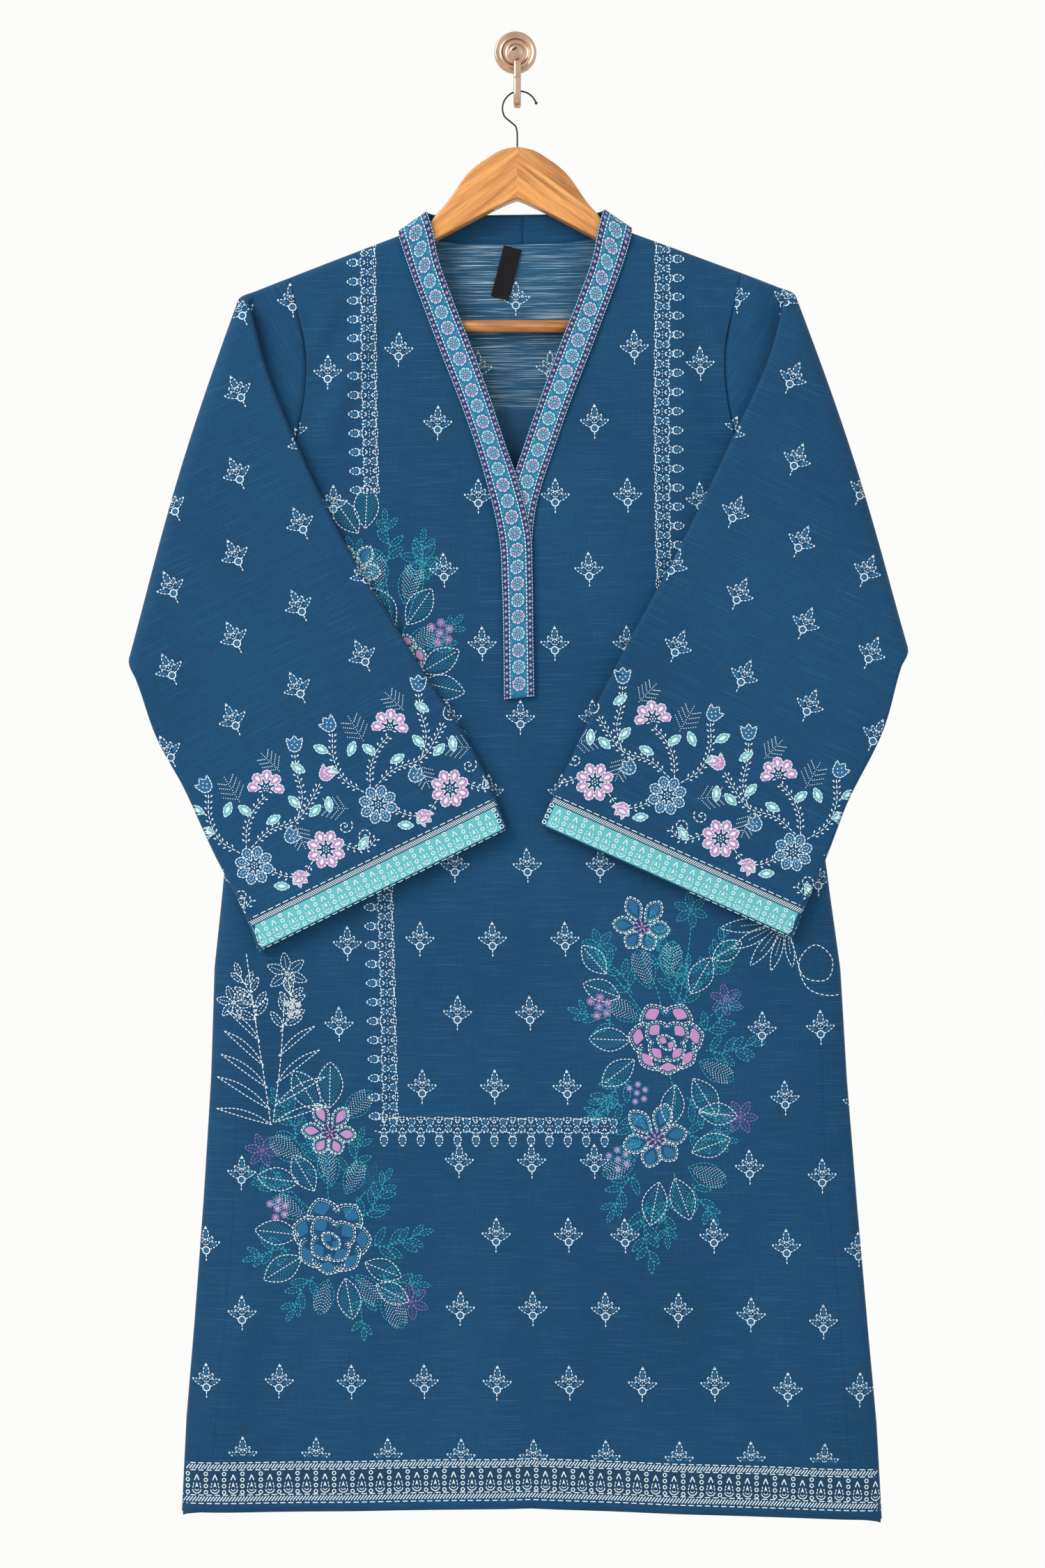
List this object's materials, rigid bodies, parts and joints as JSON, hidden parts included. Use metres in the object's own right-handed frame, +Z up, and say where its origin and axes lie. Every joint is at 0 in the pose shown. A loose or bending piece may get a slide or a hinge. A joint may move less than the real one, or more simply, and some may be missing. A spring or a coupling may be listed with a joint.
{
  "type": "kameez tunic on a wooden hanger and wall hook",
  "caption": "Long V-neck kameez tunic with folded-forward sleeves and a banded placket, hung flat on a wooden trouser-bar hanger from a rosette wall hook.",
  "frame": {"origin": "middle of the rosette's back face, on the wall", "axes": "+Z up, +Y into the wall, +X to the right of someone facing the wall; the tunic's front faces -Y"},
  "size_m": [0.6301, 0.0642, 1.2328],
  "materials": {
    "kameez_cloth": "matt slub cotton, printed",
    "band_cloth": "matt printed cotton",
    "label_cloth": "satin woven label",
    "hanger_wood": "clear satin lacquer",
    "hook_wire": "dark plated wire",
    "wall_hook_metal": "satin nickel"
  },
  "bodies": {
    "root": {"front": "kameez_cloth", "back": "kameez_cloth", "sleeve_left": "kameez_cloth", "sleeve_right": "kameez_cloth", "neck_band_left": "band_cloth", "neck_band_right": "band_cloth", "neck_label": "label_cloth", "hanger_arm_left": "hanger_wood", "hanger_arm_right": "hanger_wood", "trouser_bar": "hanger_wood", "hanger_hook": "hook_wire", "hook_ball": "hook_wire", "hook_arm": "wall_hook_metal", "hook_post": "wall_hook_metal", "rosette": "wall_hook_metal"}
  },
  "joints": []
}
